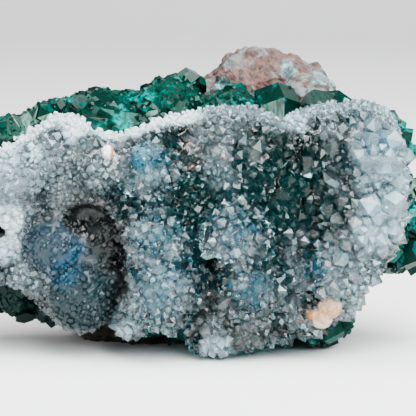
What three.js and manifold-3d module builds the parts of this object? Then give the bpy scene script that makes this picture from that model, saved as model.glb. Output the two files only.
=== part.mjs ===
// A mineral specimen: a crust of clear quartz crystals grown over blue balls of shattuckite,
// on green dioptase, on a broken piece of its matrix rock.
// Millimetres. X runs to the right along the crust, Y runs from the crust to the back, Z is up.
// The specimen stands on the flat foot of its matrix, and the origin is the middle of its underside.
import * as THREE from "three";
import { ImprovedNoise } from "three/addons/math/ImprovedNoise.js";
import { mergeVertices } from "three/addons/utils/BufferGeometryUtils.js";
import Module from "manifold-3d";

const wasm = await Module();
wasm.setup();
const { Manifold, Mesh: SolidMesh } = wasm;

// Driving dimensions
const GAP = 0.3; // air between one mineral and the next
const FOOT_Z = 0; // height of the flat foot
const CRUST_FRONT = -1.6; // front of the quartz sheet between its lobes
const CRUST_BACK = 4; // back of the sheet where the dioptase doesn't reach it
const POINT_RADIUS = 1.78; // of the small quartz points that cover the whole crust
const EDGE_ROUNDING = 3; // the sheet curves back by this within this distance of its edge
const EDGE_CRYSTAL_SPACING = 4.4; // between the larger crystals round the edge of the crust
const FACET_TOLERANCE = 0.13; // faces flatter than this are merged
const MERGE_DISTANCE = 1e-3; // corners closer than this are one corner
const QUARTZ_STEEPNESS = 1.1; // height of a quartz point for each millimetre of its radius
const DIOPTASE_STEEPNESS = 0.42; // the same for each of the two steps of a dioptase point
const RIM_SLOPE = 0.28; // the broken upper edge of the crust falls this much towards the front
const RIM_FRONT = 1; // front of that broken edge
const SHOULDER_SLOPE = 0.9; // in front of it the crust falls away this much
const BEYOND = 60; // farther out than any place on the specimen

// Roughness of a rock lump: waves round it, how much the finer ones count, and how far the
// strongest ones move the surface for each unit of roughness
const COARSE_WAVES = 2;
const FINE_WAVES = 6;
const FINE_SHARE = 0.6;
const ROUGH_REACH = 1.5;

// Points of the quartz crust, as shares of their radius
const POINT_RISE = [0.45, 0.9]; // height of a point, least and most
const CORNER_SINK = 0.15; // deepest corner between the points
const POINT_SHIFT = 0.25; // farthest that chance moves a point sideways
const CORNER_SHIFT = 0.125; // and a corner
const LARGEST_SHIFT = 0.6; // sideways, once the point also leans with the crust
const SPARE_ROWS = 2; // beyond the outline of the crust
const SPARE_COLUMNS = 3;

// Larger quartz crystals on the balls' lobes and round the edge
const LARGE_CRYSTAL = [0.9, 1.6]; // radius, in millimetres
const LARGE_CRYSTAL_SHAFT = [0.2, 0.8]; // length below the point, as a share of the radius
const LARGE_CRYSTALS_WITHIN = { left: -32, low: 1, high: 34 };
const PLACES_ROUND_BALL = 9; // places spread round a lobe; those that face the front are used
const FRONT_PART = -0.2; // a place faces the front when its direction's Y is below this
const EDGE_PLACE_BACK = [1, 3]; // how far behind the front of the crust the edge crystals start
const EDGE_FORWARD_LEAN = 0.8; // how far they lean forwards, for 1 outwards
const CRYSTAL_TILT = 0.3; // how far chance turns a crystal
const TIP_SHIFT = 0.25; // how far off the middle a tip may be, as a share of the radius
const RING_UNEVENNESS = 0.175; // how uneven the lower corners of the point are, likewise
const QUARTZ_ROOT = 1.2; // part sunk in the crust, for each millimetre of the radius
const DIOPTASE_ROOT = 1.6;

// Broken faces on a lump: how many, how far chance turns each away from an even spread, and how
// far out they cut as a share of the lump's half size
const BLOCK_FRACTURES = { count: 26, tilt: 0.45, reachShare: [0.78, 0.97] };
const PEAK_FRACTURES = { count: 18, tilt: 0.35, reachShare: [0.84, 0.98] };
const GREEN_FRACTURES = { count: 44, tilt: 0.6, reachShare: [0.74, 0.97] };
const LOWEST_FRACTURE = -0.4; // upward part of their direction; the foot is left whole

const COLOURS = {
  quartz: "#a9bcc2",
  dioptase: "#0b6b55",
  shattuckite: "#5f9cc0",
  matrix: "#b59a90",
  calcite: "#e6d3bf",
};

// Matrix: the block that carries everything, and the peak that shows above the dioptase
const MATRIX_LUMPS = [
  { at: [-1, 15, 16.5], half: [23, 11, 19], power: 3, rough: 0.1, detail: 2, seed: 3,
    fractures: BLOCK_FRACTURES },
  { at: [8.4, 17.5, 33.2], half: [8.6, 7.6, 8.6], power: 2.6, rough: 0.12, detail: 3, seed: 11,
    fractures: PEAK_FRACTURES },
  { at: [13.6, 17, 32.2], half: [6.2, 6.8, 7.2], power: 3.4, rough: 0.1, detail: 2, seed: 17,
    fractures: PEAK_FRACTURES },
  { at: [0.8, 17, 31], half: [5.4, 6, 7], power: 2.6, rough: 0.1, detail: 2, seed: 47,
    fractures: PEAK_FRACTURES },
];

// Dioptase: the green layer between the matrix and the quartz. Places is how many are tried
// for a small crystal on the lump.
const DIOPTASE_LUMPS = [
  { at: [-26.5, 8.2, 17.6], half: [8.6, 6.8, 13.6], power: 3, rough: 0.06, detail: 1, seed: 23,
    places: 40 },
  { at: [-12, 9.4, 20], half: [15, 8.3, 16], power: 4, rough: 0.04, detail: 2, seed: 41,
    places: 90 },
  { at: [5.4, 9.6, 17.6], half: [16, 8.5, 17.8], power: 4, rough: 0.04, detail: 2, seed: 29,
    places: 110 },
  { at: [25, 8.6, 18], half: [6.8, 6.6, 7.4], power: 2.6, rough: 0.08, detail: 1, seed: 31,
    places: 34 },
  { at: [20, 9.2, 26], half: [8.2, 7.8, 8.2], power: 3, rough: 0.05, detail: 1, seed: 37,
    places: 34 },
];

// Broken green masses side by side behind the rim, left to right
const RIM_MASSES = [
  { at: [-26.2, 7.4, 29.2], half: [6.8, 5.6, 5.4], power: 4, rough: 0.05, detail: 1, seed: 53 },
  { at: [-15.4, 8.2, 32.6], half: [10, 5.6, 5.1], power: 4.5, rough: 0.05, detail: 1, seed: 59 },
  { at: [-5.4, 9.6, 33.8], half: [7, 6, 5], power: 4, rough: 0.05, detail: 1, seed: 67 },
  { at: [3, 8.4, 33], half: [6.4, 5.4, 4.6], power: 4, rough: 0.05, detail: 1, seed: 71 },
];

// Where the green layer is left free for small crystals: on top behind the rim, at the back, at
// both ends, and below
const FREE_TOP = { above: 31.5, behind: 8, leftOf: 19 };
const FREE_BACK = { behind: 11, below: 34 };
const FREE_ENDS = 25; // from the middle in X
const FREE_BELOW = 8;
const SMALL_CRYSTALS_WITHIN = { low: 2.4, back: 17.5, front: 4.5 };
const SMALL_CRYSTAL = [1.5, 3]; // radius
const SMALL_CRYSTAL_RARITY = 1.4; // above 1 there are more small ones than large ones
const SMALL_CRYSTAL_LENGTH = [0.3, 0.65]; // as a share of the radius
const SMALL_CRYSTAL_TILT = 0.5; // how far chance turns each
const SIDEWAYS_LEAN = 0.6; // how much of a lump's direction to the sides a crystal follows
const START_DEPTH = 0.97; // where a crystal starts, as a share of the way out of its lump
const HIDDEN_IN_ROCK = 1.02; // a place this near to another lump is taken to be covered
const HIDDEN_IN_LUMP = 0.95;

// Large dioptase crystals: those that stick out of the broken masses, those that stand up at the
// right of the rim, and those that show at the ends and below
const DIOPTASE_HEROES = [
  { at: [-28.4, 5.6, 28.2], towards: [0.4, -0.35, 0.8], radius: 2.4, length: 2.8, turn: 20 },
  { at: [-24.6, 5.6, 33], towards: [0.86, -0.08, 0.5], radius: 2, length: 3.2, turn: 30 },
  { at: [-21, 6, 34.2], towards: [-0.3, -0.3, 1], radius: 1.4, length: 2.2, turn: 10 },
  { at: [-17.8, 5.4, 34.2], towards: [0.35, -0.5, 0.7], radius: 2.2, length: 2.4, turn: 12 },
  { at: [-13.6, 5.2, 33.6], towards: [-0.5, -0.6, 0.5], radius: 2, length: 2.2, turn: 40 },
  { at: [-12.2, 4.2, 31.6], towards: [0.9, -0.35, 0.15], radius: 1.9, length: 3, turn: 22 },
  { at: [-8.4, 5.2, 34.3], towards: [0.25, -0.55, 0.75], radius: 2, length: 2.4, turn: 15 },
  { at: [-4, 5.6, 34.2], towards: [0.5, -0.5, 0.6], radius: 2.4, length: 2.6, turn: 33 },
  { at: [-7, 10, 36.4], towards: [0.6, -0.3, 0.7], radius: 1.9, length: 2.2, turn: 25 },
  { at: [-2.9, 11.4, 36], towards: [0.1, -0.1, 1], radius: 2, length: 3.1, turn: 15 },
  { at: [1.8, 6.2, 34.6], towards: [-0.3, -0.5, 0.8], radius: 2.2, length: 2.2, turn: 35 },
  { at: [9.9, 6, 33.6], towards: [0, -0.1, 1], radius: 3.4, length: 5, turn: 45 },
  { at: [12.8, 5, 32.4], towards: [0.2, -0.3, 1], radius: 1.9, length: 2.6, turn: 20 },
  { at: [15.9, 5.8, 33.4], towards: [-0.2, -0.1, 1], radius: 2.9, length: 4.3, turn: 0 },
  { at: [17.8, 8, 33.4], towards: [0.25, -0.1, 1], radius: 2.7, length: 3.9, turn: 20 },
  { at: [-7.8, 4, 4], towards: [0.3, -0.7, -0.5], radius: 2.6, length: 2.6, turn: 0 },
  { at: [-4.8, 3.6, 3.4], towards: [0.3, -0.7, -0.5], radius: 2.4, length: 2.6, turn: 30 },
  { at: [15.8, 3.8, 4.2], towards: [0.1, -0.8, -0.5], radius: 3.1, length: 3.2, turn: 10 },
  { at: [18.4, 4.4, 4.4], towards: [0.6, -0.5, -0.5], radius: 2.8, length: 2.8, turn: 40 },
  { at: [18.4, 5, 7.6], towards: [0.7, -0.6, 0], radius: 2.2, length: 2.6, turn: 20 },
  { at: [17.6, 4.6, 3.2], towards: [0.4, -0.8, -0.3], radius: 2.5, length: 2.6, turn: 25 },
  { at: [28.5, 5.5, 20], towards: [1, -0.6, 0.3], radius: 3.4, length: 3.2, turn: 15 },
  { at: [27.5, 5, 14.5], towards: [0.9, -0.6, -0.5], radius: 3, length: 3.2, turn: 35 },
  { at: [-27.6, 5, 7.4], towards: [-0.4, -0.6, -0.6], radius: 3.2, length: 3, turn: 10 },
  { at: [-23.4, 5.6, 6], towards: [-0.2, -0.6, -0.8], radius: 2.8, length: 2.6, turn: 30 },
];

// Quartz crust: the edge of the sheet in X and Z, from the lower left round by the right
const CRUST_OUTLINE = [
  [-33, 11], [-27.7, 10.4], [-24.9, 8.3], [-22.8, 5.7], [-20.7, 4], [-18.6, 3], [-16.5, 3.6],
  [-13.4, 5.7], [-11.6, 2.9], [-10.2, 3], [-8.1, 5.2], [-5.3, 4.7], [-3.2, 3.3], [-1.1, 1.2],
  [1, 0], [2.4, 0], [3.8, 1.2], [8, 1.9], [14.3, 3.3], [16.4, 3.3], [19.2, 5.7], [20.6, 7.6],
  [22, 10.4], [24.8, 13.7], [26.2, 16.8], [26.9, 18.9], [27.9, 22.5], [28.6, 26], [28.3, 30.7],
  [26.9, 34.1], [26, 40], [-33, 40], [-35, 30], [-35.4, 20],
];
// Each lobe is [x, y, z, radius]. The ball lobes end with the radius of the ball of shattuckite
// inside, as a share of the lobe's.
const BALL_LOBES = [
  [-8.5, -1, 27.5, 4.8, 0.6],
  [-22, 1.6, 16, 4.9, 0.72],
  [-18, 1.2, 8.9, 5.3, 0.76],
  [-8, -2, 17.2, 5, 0.66],
  [-6.8, -2, 10, 5.8, 0.7],
  [4, -2.6, 17.6, 4.9, 0.6],
  [6, -2, 9.6, 4.9, 0.58],
  [23.6, -0.9, 29.4, 5.6, 0.55],
  [16.5, -1, 12.6, 5, 0.6],
];
const PLAIN_LOBES = [
  [-26.5, 0, 27.4, 5], [-21.5, 0, 30, 4.8], [-16, 0.4, 28, 4.7], [-2.5, 0, 30, 4.8],
  [2.6, 0, 31, 4.8], [7.6, 0, 31.4, 4.8], [13, 0.4, 30, 4.8], [18.4, 0, 31.6, 4.4],
  [25, -0.6, 23, 4.8], [21, -1, 19, 5], [25.2, 0, 17, 3.1], [15.5, 1.9, 24, 5],
  [10, 2.4, 24, 5], [4.5, 1.6, 25.5, 4.5], [-1, 2.6, 22.4, 4.8], [11.5, 1, 16.6, 4.8],
  [19.6, 0, 9.2, 3.6], [13, 0, 7, 4.2], [0.6, -1, 4.2, 3.7], [-11.2, -1, 5.4, 2.3],
  [-15, 4.2, 17.2, 3.8], [-28, 0.4, 18.6, 3.8], [-26.4, 1, 12.6, 3], [-11, 0.4, 22.6, 4],
  [-20, 0.4, 24.2, 4.2], [-26.5, 0.4, 23, 4], [5, -1, 4.6, 3.3], [9, -0.6, 5, 3.1],
  [-0.6, 1, 10.4, 4.6], [-22.6, 1.4, 11, 3.5], [20, 0, 25.6, 4.5], [20.6, -0.4, 14.6, 4.6],
  [-30.6, 2, 24.5, 4.2], [-30.8, 3, 18, 3.6],
];
const QUARTZ_LOBES = [...BALL_LOBES, ...PLAIN_LOBES];
// Dark hollows between the lobes
const HOLLOWS = [
  { at: [-16.9, -1, 20], half: [3, 6.5, 1.7] },
  { at: [-12.2, -3, 12.4], half: [1.1, 4.4, 5.6] },
  { at: [0.4, -3.4, 14], half: [1.1, 5, 1.8] },
];
// The broken upper edge of the crust, left to right
const RIM = [
  [-38, 25], [-34, 26.6], [-29, 29.4], [-26, 31], [-23.5, 32.4], [-21.4, 33.8], [-18.6, 33.8],
  [-16.5, 32.3], [-13, 31.4], [-9.5, 32.3], [-6.7, 33.6], [-2, 34], [1, 34.8], [6.8, 34.9],
  [9.8, 33.2], [11, 33.6], [14, 34.8], [16.4, 35.3], [19.2, 34.9], [20, 35.9], [23.4, 35.4],
  [26.2, 34.4], [28, 32.6], [34, 31],
];

// Shattuckite balls: one in each ball lobe, standing on the dioptase
const BALL_SET_BACK = 0.7; // from the middle of the lobe

// Calcite: a creamy knob at the lower right and a small bead at the upper left
const CALCITE_KNOB = [
  [17.1, -3.5, 7.9, 1.75], [16, -3.5, 6.4, 1.6], [14.4, -3.2, 6.7, 1],
];
const CALCITE_BEAD = { at: [-14, -2.3, 29.6], half: [0.85, 0.8, 1] };

const noise = new ImprovedNoise();

// A repeatable source of random numbers from 0 to 1
function randomFrom(seed) {
  let state = seed;
  return () => {
    state = (state + 0x6d2b79f5) | 0;
    let t = Math.imul(state ^ (state >>> 15), 1 | state);
    t = (t + Math.imul(t ^ (t >>> 7), 61 | t)) ^ t;
    return ((t ^ (t >>> 14)) >>> 0) / 4294967296;
  };
}

// A random number between two limits
const between = ([low, high], random) => low + (high - low) * random();

// Closed geometry to solid
function solidOf(geometry) {
  const bare = geometry.index ? geometry.toNonIndexed() : geometry.clone();
  bare.deleteAttribute("normal");
  bare.deleteAttribute("uv");
  const merged = mergeVertices(bare, MERGE_DISTANCE);
  const triVerts = new Uint32Array(merged.index.array);
  const vertProperties = merged.getAttribute("position").array;
  return new Manifold(new SolidMesh({ numProp: 3, vertProperties, triVerts }));
}

// Solid to geometry
function geometryOf(solid) {
  const { numProp, numVert, vertProperties, triVerts } = solid.getMesh();
  const position = new Float32Array(numVert * 3);
  for (let i = 0; i < numVert; i++) {
    position.set(vertProperties.subarray(i * numProp, i * numProp + 3), i * 3);
  }
  const geometry = new THREE.BufferGeometry();
  geometry.setAttribute("position", new THREE.BufferAttribute(position, 3));
  return geometry.setIndex(new THREE.BufferAttribute(triVerts, 1));
}

const largestPiece = (solid) =>
  solid.decompose().reduce((a, b) => (b.volume() > a.volume() ? b : a));

// One clean body: flat faces merged, and slivers left out once close corners are one
function cleaned(solid) {
  const plain = largestPiece(solid).simplify(FACET_TOLERANCE);
  return largestPiece(solidOf(geometryOf(plain)));
}

const union = (solids) => Manifold.union(solids);

// Distance from the centre to the surface of a squarish ellipsoid, along a direction
function reach(direction, half, power) {
  const sum = ["x", "y", "z"].reduce(
    (total, axis, i) => total + Math.abs(direction[axis] / half[i]) ** power, 0);
  return sum ** (-1 / power);
}

// Directions spread evenly over a ball
function spreadDirections(count) {
  const golden = Math.PI * (3 - Math.sqrt(5));
  return Array.from({ length: count }, (_, i) => {
    const z = 1 - (2 * (i + 0.5)) / count;
    const flat = Math.sqrt(1 - z * z);
    return new THREE.Vector3(flat * Math.cos(golden * i), flat * Math.sin(golden * i), z);
  });
}

const jitter = (direction, amount, random) =>
  new THREE.Vector3(random() - 0.5, random() - 0.5, random() - 0.5)
    .multiplyScalar(2 * amount).add(direction).normalize();

const vector = (list) => new THREE.Vector3(...list);

// A rough rock lump, grown on every side by grow
function rockLump({ at, half, power, rough, detail, seed }, grow = 0) {
  const geometry = new THREE.IcosahedronGeometry(1, detail);
  const position = geometry.getAttribute("position");
  const direction = new THREE.Vector3();
  for (let i = 0; i < position.count; i++) {
    direction.fromBufferAttribute(position, i).normalize();
    const [cx, cy, cz] = direction.toArray().map((part) => part * COARSE_WAVES);
    const [fx, fy, fz] = direction.toArray().map((part) => part * FINE_WAVES);
    const bumps = noise.noise(cx + seed, cy, cz) + FINE_SHARE * noise.noise(fx, fy + seed, fz);
    const length = reach(direction, half, power) * (1 + ROUGH_REACH * rough * bumps);
    direction.multiplyScalar(length + grow);
    position.setXYZ(i, direction.x + at[0], direction.y + at[1], direction.z + at[2]);
  }
  return solidOf(geometry);
}

// The same lump broken along flat faces that cut a little below its surface
function brokenLump(lump, { count, tilt, reachShare }, grow = 0) {
  const random = randomFrom(lump.seed);
  const directions = spreadDirections(count)
    .map((spread) => jitter(spread, tilt, random))
    .filter((outward) => outward.z > LOWEST_FRACTURE);
  return directions.reduce((solid, outward) => {
    const depth = reach(outward, lump.half, lump.power) * between(reachShare, random);
    const distance = outward.dot(vector(lump.at)) + depth + grow;
    return solid.trimByPlane(outward.negate().toArray(), -distance);
  }, rockLump(lump, grow));
}

function ball([x, y, z, radius], detail, grow = 0) {
  const geometry = new THREE.IcosahedronGeometry(radius + grow, detail);
  return solidOf(geometry.translate(x, y, z));
}

function ellipsoid({ at, half }, detail, grow = 0) {
  const geometry = new THREE.IcosahedronGeometry(1, detail);
  geometry.scale(half[0] + grow, half[1] + grow, half[2] + grow);
  return solidOf(geometry.translate(...at));
}

// A plate with an outline in X and Z, from yFront to yBack
function plate(outline, yFront, yBack) {
  const shape = new THREE.Shape(outline.map(([x, z]) => new THREE.Vector2(x, z)));
  const depth = yBack - yFront;
  const geometry = new THREE.ExtrudeGeometry(shape, { depth, bevelEnabled: false });
  geometry.rotateX(Math.PI / 2);
  return solidOf(geometry.translate(0, yBack, 0));
}

// A six-sided crystal along +Z. The ring heights are where its six edges meet the point's faces.
function hexCrystal({ radius, root, ringHeights, tip }) {
  const ring = (height) => [0, 1, 2, 3, 4, 5].map((i) => {
    const angle = (i * Math.PI) / 3;
    return [radius * Math.cos(angle), radius * Math.sin(angle), height(i)];
  });
  const points = [...ring(() => -root), ...ring((i) => ringHeights[i]), tip, [0, 0, -root]];
  const faces = [];
  for (let i = 0; i < 6; i++) {
    const next = (i + 1) % 6;
    faces.push([i, next, 6 + next], [i, 6 + next, 6 + i], [6 + i, 6 + next, 12], [next, i, 13]);
  }
  const geometry = new THREE.BufferGeometry();
  geometry.setAttribute("position", new THREE.Float32BufferAttribute(points.flat(), 3));
  return geometry.setIndex(faces.flat());
}

// Quartz: six faces that meet in a point a little off the middle
function quartzCrystal(radius, shaft, random) {
  const aside = () => radius * between([-TIP_SHIFT, TIP_SHIFT], random);
  const uneven = () => radius * between([-RING_UNEVENNESS, RING_UNEVENNESS], random);
  const ringHeights = Array.from({ length: 6 }, () => shaft + uneven());
  const tip = [aside(), aside(), shaft + QUARTZ_STEEPNESS * radius];
  return hexCrystal({ radius, root: radius * QUARTZ_ROOT, ringHeights, tip });
}

// Dioptase: a prism closed by three rhombs
function dioptaseCrystal(radius, length) {
  const step = DIOPTASE_STEEPNESS * radius;
  const ringHeights = [1, 2, 1, 2, 1, 2].map((steps) => length - steps * step);
  return hexCrystal({ radius, root: radius * DIOPTASE_ROOT, ringHeights, tip: [0, 0, length] });
}

// True where a place in X and Z is on the crust
function insideOutline(x, z) {
  let inside = false;
  CRUST_OUTLINE.forEach(([ax, az], i) => {
    const [bx, bz] = CRUST_OUTLINE[(i + 1) % CRUST_OUTLINE.length];
    if ((az > z) !== (bz > z) && x < ((bx - ax) * (z - az)) / (bz - az) + ax) inside = !inside;
  });
  return inside;
}

// Stands a crystal at a place, its axis along a direction, turned by an angle in degrees
function stand(geometry, place, direction, turn) {
  const up = new THREE.Vector3(0, 0, 1);
  const aim = new THREE.Quaternion().setFromUnitVectors(up, direction.clone().normalize());
  geometry.rotateZ(THREE.MathUtils.degToRad(turn));
  geometry.applyQuaternion(aim);
  return geometry.translate(place.x, place.y, place.z);
}

// True where a point is inside a lump drawn at a share of its size
function insideLump(point, lump, share) {
  const offset = point.clone().sub(vector(lump.at));
  const length = offset.length();
  return length < reach(offset.normalize(), lump.half, lump.power) * share;
}

// True where the quartz leaves the green layer free
function isFree({ x, y, z }) {
  const onTop = z > FREE_TOP.above && y > FREE_TOP.behind && x < FREE_TOP.leftOf;
  const atBack = y > FREE_BACK.behind && z < FREE_BACK.below;
  return onTop || atBack || Math.abs(x) > FREE_ENDS || z < FREE_BELOW;
}

// Small dioptase crystals spread over the free faces of the green layer
function scatteredDioptase() {
  const random = randomFrom(7);
  const places = [];
  for (const lump of DIOPTASE_LUMPS) {
    for (const direction of spreadDirections(lump.places)) {
      const depth = reach(direction, lump.half, lump.power) * START_DEPTH;
      const place = direction.clone().multiplyScalar(depth).add(vector(lump.at));
      const outward = direction.clone();
      outward.x *= SIDEWAYS_LEAN;
      const hidden = MATRIX_LUMPS.some((rock) => insideLump(place, rock, HIDDEN_IN_ROCK))
        || DIOPTASE_LUMPS.some((other) => other !== lump && insideLump(place, other, HIDDEN_IN_LUMP))
        || (place.y < SMALL_CRYSTALS_WITHIN.front && insideOutline(place.x, place.z));
      const within = place.z > SMALL_CRYSTALS_WITHIN.low && place.y < SMALL_CRYSTALS_WITHIN.back;
      if (!isFree(place) || hidden || !within) continue;
      const radius = between(SMALL_CRYSTAL, () => random() ** SMALL_CRYSTAL_RARITY);
      const length = radius * between(SMALL_CRYSTAL_LENGTH, random);
      const axis = jitter(outward, SMALL_CRYSTAL_TILT, random);
      places.push({ place, radius, length, direction: axis, turn: 60 * random() });
    }
  }
  return places;
}
const DIOPTASE_CRYSTALS = [
  ...scatteredDioptase(),
  ...DIOPTASE_HEROES.map(({ at, towards, radius, length, turn }) => ({
    place: vector(at), direction: vector(towards), radius, length, turn,
  })),
];

function dioptaseSolid(grow = 0) {
  const crystals = DIOPTASE_CRYSTALS.map(({ place, direction, radius, length, turn }) =>
    solidOf(stand(dioptaseCrystal(radius + grow, length + grow), place, direction, turn)));
  const lumps = DIOPTASE_LUMPS.map((lump) => rockLump(lump, grow));
  const masses = RIM_MASSES.map((mass) => brokenLump(mass, GREEN_FRACTURES, grow));
  return union([...lumps, ...masses, ...crystals]);
}

const matrixSolid = (grow = 0) =>
  union(MATRIX_LUMPS.map((lump) => brokenLump(lump, lump.fractures, grow)));

// Everything below the foot is cut off flat
function belowFoot() {
  const geometry = new THREE.BoxGeometry(2 * BEYOND, 2 * BEYOND, BEYOND);
  return solidOf(geometry.translate(0, 0, FOOT_Z - BEYOND / 2));
}

// What is broken off above the rim of the quartz crust
function aboveRim() {
  const outline = [...RIM, [RIM.at(-1)[0], BEYOND], [RIM[0][0], BEYOND]];
  const shape = new THREE.Shape(outline.map(([x, z]) => new THREE.Vector2(x, z)));
  const geometry = new THREE.ExtrudeGeometry(shape, { depth: BEYOND, bevelEnabled: false });
  geometry.rotateX(Math.PI / 2);
  geometry.translate(0, BEYOND / 2, 0);
  const shear = new THREE.Matrix4().makeShear(0, 0, 0, RIM_SLOPE, 0, 0);
  return solidOf(geometry.applyMatrix4(shear));
}

const CRUST_EDGE = CRUST_OUTLINE.map(([x, z]) => new THREE.Vector2(x, z));
const CRUST_SHAPE = new THREE.Shape(CRUST_EDGE);

// Shortest distance from a place on the crust to its edge
function distanceToEdge(x, z) {
  const here = new THREE.Vector3(x, z, 0);
  const nearest = new THREE.Vector3();
  return Math.min(...CRUST_EDGE.map((corner, i) => {
    const next = CRUST_EDGE[(i + 1) % CRUST_EDGE.length];
    const side = new THREE.Line3(
      new THREE.Vector3(corner.x, corner.y, 0), new THREE.Vector3(next.x, next.y, 0));
    return side.closestPointToPoint(here, true, nearest).distanceTo(here);
  }));
}

// Height of the rim at Y = 0
function rimHeight(x) {
  const near = THREE.MathUtils.clamp(x, RIM[0][0] + GAP, RIM.at(-1)[0]);
  const next = RIM.findIndex(([rimX]) => rimX >= near);
  const [[ax, az], [bx, bz]] = [RIM[next - 1], RIM[next]];
  return az + ((bz - az) * (near - ax)) / (bx - ax);
}

// Front of the crust: the sheet, rounded off at its edge, or the lobe that stands out most,
// and below the rim never in front of the shoulder
function crustFront(x, z) {
  const edge = Math.max(0, 1 - distanceToEdge(x, z) / EDGE_ROUNDING);
  const sheet = CRUST_FRONT + EDGE_ROUNDING * edge * edge;
  const lobes = QUARTZ_LOBES.map(([cx, cy, cz, radius]) => {
    const depth = radius * radius - (x - cx) ** 2 - (z - cz) ** 2;
    return depth > 0 ? cy - Math.sqrt(depth) : CRUST_BACK;
  });
  const belowRim = Math.max(0, rimHeight(x) + RIM_SLOPE * RIM_FRONT - z);
  return Math.max(Math.min(sheet, ...lobes), RIM_FRONT - belowRim / SHOULDER_SLOPE);
}

// Outward direction of the front of the crust
function crustNormal(x, z) {
  const step = 0.5;
  const slopeX = (crustFront(x + step, z) - crustFront(x - step, z)) / (2 * step);
  const slopeZ = (crustFront(x, z + step) - crustFront(x, z - step)) / (2 * step);
  return new THREE.Vector3(slopeX, -1, slopeZ).normalize();
}

// The crust: a lumpy front covered with six-sided points that share their lower corners.
// The corners and points are a lattice of rows, each shifted by half a step against the last.
function crustBody(random) {
  const { min, max } = new THREE.Box2().setFromPoints(CRUST_EDGE);
  const rowHeight = POINT_RADIUS * Math.sqrt(3 / 4);
  const rows = Math.ceil((max.y - min.y) / rowHeight) + SPARE_ROWS;
  const slant = (rows * POINT_RADIUS) / 2;
  const columns = Math.ceil((max.x - min.x + slant) / POINT_RADIUS) + SPARE_COLUMNS;
  const [width, height] = [columns * POINT_RADIUS, rows * rowHeight];
  const lattice = new THREE.BoxGeometry(width, CRUST_BACK, height, columns, 1, rows);
  lattice.deleteAttribute("normal").deleteAttribute("uv");
  const merged = mergeVertices(lattice);
  const position = merged.getAttribute("position");
  for (let i = 0; i < position.count; i++) {
    const column = Math.round((position.getX(i) + width / 2) / POINT_RADIUS);
    const row = Math.round((position.getZ(i) + height / 2) / rowHeight);
    const x = position.getX(i) + slant / 2 - (row * POINT_RADIUS) / 2 + (min.x + max.x) / 2;
    const z = position.getZ(i) + (min.y + max.y) / 2;
    if (position.getY(i) > 0) {
      position.setXYZ(i, x, CRUST_BACK, z);
      continue;
    }
    const isPoint = (column + row) % 3 === 0;
    const normal = crustNormal(x, z);
    const rise = POINT_RADIUS * between(isPoint ? POINT_RISE : [-CORNER_SINK, 0], random);
    const shift = POINT_RADIUS * (isPoint ? POINT_SHIFT : CORNER_SHIFT);
    const aside = new THREE.Vector2(normal.x * rise, normal.z * rise);
    aside.x += between([-shift, shift], random);
    aside.y += between([-shift, shift], random);
    aside.clampLength(0, LARGEST_SHIFT * POINT_RADIUS);
    position.setXYZ(i, x + aside.x, crustFront(x, z) + normal.y * rise, z + aside.y);
  }
  return solidOf(merged).intersect(plate(CRUST_OUTLINE, -BEYOND, BEYOND));
}

// Larger crystals on the fronts of the balls' lobes and round the edge of the crust
function quartzCrystals(random) {
  const places = [];
  for (const [x, y, z, radius] of BALL_LOBES) {
    const spreads = spreadDirections(PLACES_ROUND_BALL).filter((each) => each.y < FRONT_PART);
    for (const spread of spreads) {
      const direction = jitter(spread, CRYSTAL_TILT, random);
      places.push({ place: direction.clone().multiplyScalar(radius).add(vector([x, y, z])), direction });
    }
  }
  const edge = CRUST_SHAPE.getSpacedPoints(CRUST_SHAPE.getLength() / EDGE_CRYSTAL_SPACING);
  edge.forEach(({ x, y: z }, i) => {
    const next = edge[(i + 1) % edge.length];
    const outward = new THREE.Vector3(next.y - z, 0, x - next.x).normalize();
    const direction = outward.add(new THREE.Vector3(0, -EDGE_FORWARD_LEAN, 0)).normalize();
    const place = new THREE.Vector3(x, crustFront(x, z) + between(EDGE_PLACE_BACK, random), z);
    places.push({ place, direction });
  });
  const { left, low, high } = LARGE_CRYSTALS_WITHIN;
  const standing = places.filter(({ place }) => place.x > left && place.z > low && place.z < high
    && place.y > crustFront(place.x, place.z) - LARGE_CRYSTAL[0] / 2);
  return standing.map(({ place, direction }) => {
    const size = between(LARGE_CRYSTAL, random);
    const crystal = quartzCrystal(size, size * between(LARGE_CRYSTAL_SHAFT, random), random);
    return solidOf(stand(crystal, place, jitter(direction, CRYSTAL_TILT, random), 60 * random()));
  });
}

function quartzSolid() {
  const random = randomFrom(41);
  const hollows = union(HOLLOWS.map((hollow) => ellipsoid(hollow, 1)));
  const crust = union([crustBody(random), ...quartzCrystals(random)]);
  return crust.subtract(union([hollows, aboveRim()]));
}

const SHATTUCKITE_BALLS = BALL_LOBES.map(([x, y, z, radius, share]) =>
  [x, y + BALL_SET_BACK, z, radius * share]);

const knobSolid = (grow = 0) => union(CALCITE_KNOB.map((lump) => ball(lump, 1, grow)));
const beadSolid = (grow = 0) => ellipsoid(CALCITE_BEAD, 1, grow);

// Assembly: each mineral is cut clear of the ones it grew on
const foot = belowFoot();
const grownMatrix = matrixSolid(GAP);
const grownDioptase = dioptaseSolid(GAP);
const grownBalls = union(SHATTUCKITE_BALLS.map((each) => ball(each, 1, GAP)));
const bed = union([grownMatrix, grownDioptase]);
const inTheQuartz = union([bed, grownBalls, knobSolid(GAP), beadSolid(GAP), foot]);

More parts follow.
